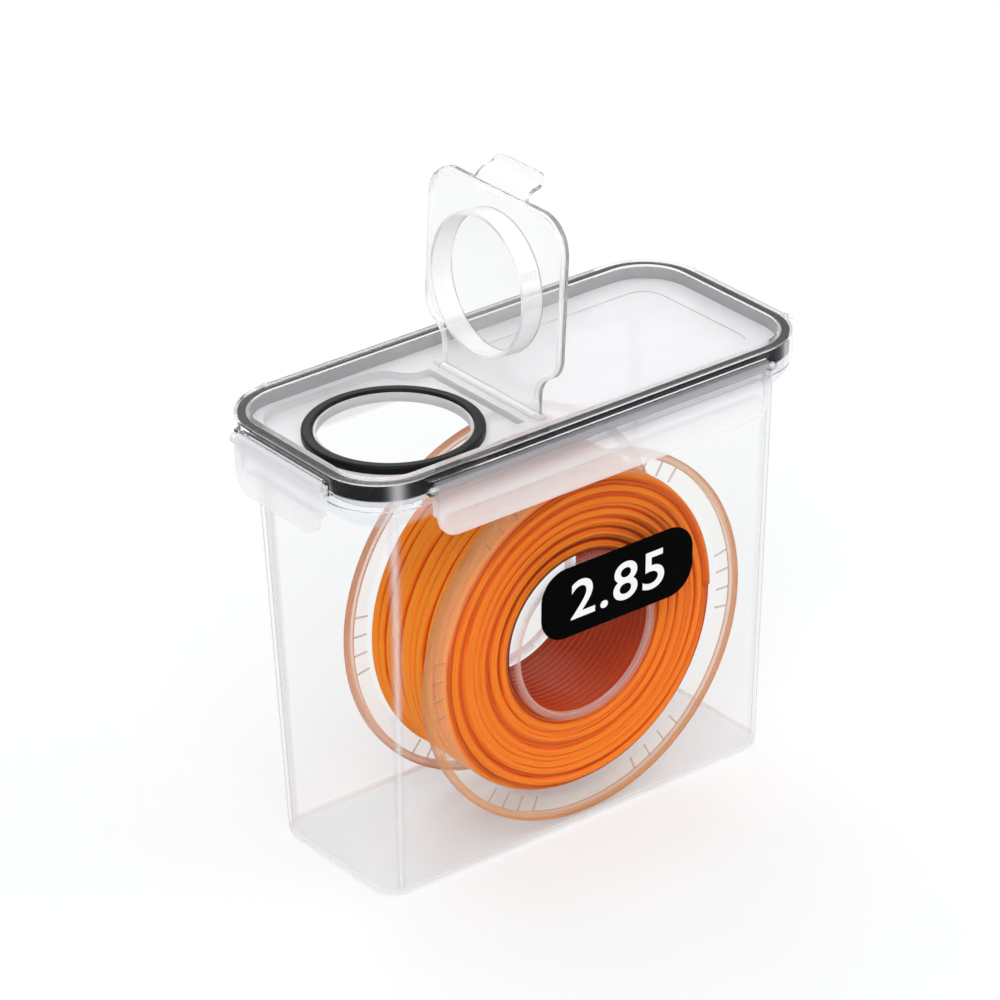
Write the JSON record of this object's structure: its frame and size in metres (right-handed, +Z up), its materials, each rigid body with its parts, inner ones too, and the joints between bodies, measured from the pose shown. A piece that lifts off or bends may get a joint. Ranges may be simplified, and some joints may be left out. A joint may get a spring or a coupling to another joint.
{
  "type": "filament storage box",
  "caption": "Clear tapered airtight box with a latched lid, black gaskets and a flip-up spout cap, holding a spool of orange filament that turns inside.",
  "frame": {"origin": "on the table, under the middle of the base", "axes": "+X along the box, away from the pouring spout; -Y out of the front wall with the label; +Z up"},
  "size_m": [0.2676, 0.1306, 0.3161],
  "materials": {
    "clear_shell": "clear gloss",
    "clear_lid": "clear gloss",
    "clear_cap": "clear gloss",
    "frosted_latch": "lightly frosted",
    "clear_spool": "clear gloss",
    "hinge_pin": "clear gloss",
    "black_rubber": "satin",
    "black_label": "smooth film",
    "orange_filament": "satin"
  },
  "bodies": {
    "container": {"container_body": "clear_shell", "label": "black_label"},
    "lid": {"lid": "clear_lid", "lid_gasket": "black_rubber", "spout_seal": "black_rubber", "cap_hinge_pin": "hinge_pin", "latch_pin_front": "hinge_pin", "latch_pin_right": "hinge_pin", "latch_pin_rear": "hinge_pin", "latch_pin_left": "hinge_pin"},
    "cap": {"flip_cap": "clear_cap"},
    "spool": {"spool_front_flange": "clear_spool", "spool_rear_flange": "clear_spool", "spool_hub": "clear_spool", "filament_core": "orange_filament", "filament_outer_layer": "orange_filament"},
    "latch_front": {"latch_front": "frosted_latch"},
    "latch_right": {"latch_right": "frosted_latch"},
    "latch_rear": {"latch_rear": "frosted_latch"},
    "latch_left": {"latch_left": "frosted_latch"}
  },
  "joints": [
    {"name": "lid_lift", "type": "slide", "parent": "container", "child": "lid", "axis": [0, 0, 1], "range_m": [0, 0.06]},
    {"name": "cap_flip", "type": "hinge", "parent": "lid", "child": "cap", "pos_m": [-0.016, 0, 0.2102], "axis": [0, 1, 0], "range_deg": [-94, 10]},
    {"name": "spool_spin", "type": "hinge", "parent": "container", "child": "spool", "pos_m": [0.006, -0.0082, 0.0938], "axis": [0, 1, 0], "continuous": true},
    {"name": "latch_front_swing", "type": "hinge", "parent": "lid", "child": "latch_front", "pos_m": [0, -0.0627, 0.212], "axis": [-1, 0, 0], "range_deg": [0, 110]},
    {"name": "latch_right_swing", "type": "hinge", "parent": "lid", "child": "latch_right", "pos_m": [0.1312, 0, 0.212], "axis": [0, -1, 0], "range_deg": [0, 110]},
    {"name": "latch_rear_swing", "type": "hinge", "parent": "lid", "child": "latch_rear", "pos_m": [0, 0.0627, 0.212], "axis": [1, 0, 0], "range_deg": [0, 110]},
    {"name": "latch_left_swing", "type": "hinge", "parent": "lid", "child": "latch_left", "pos_m": [-0.1312, 0, 0.212], "axis": [0, 1, 0], "range_deg": [0, 110]}
  ]
}
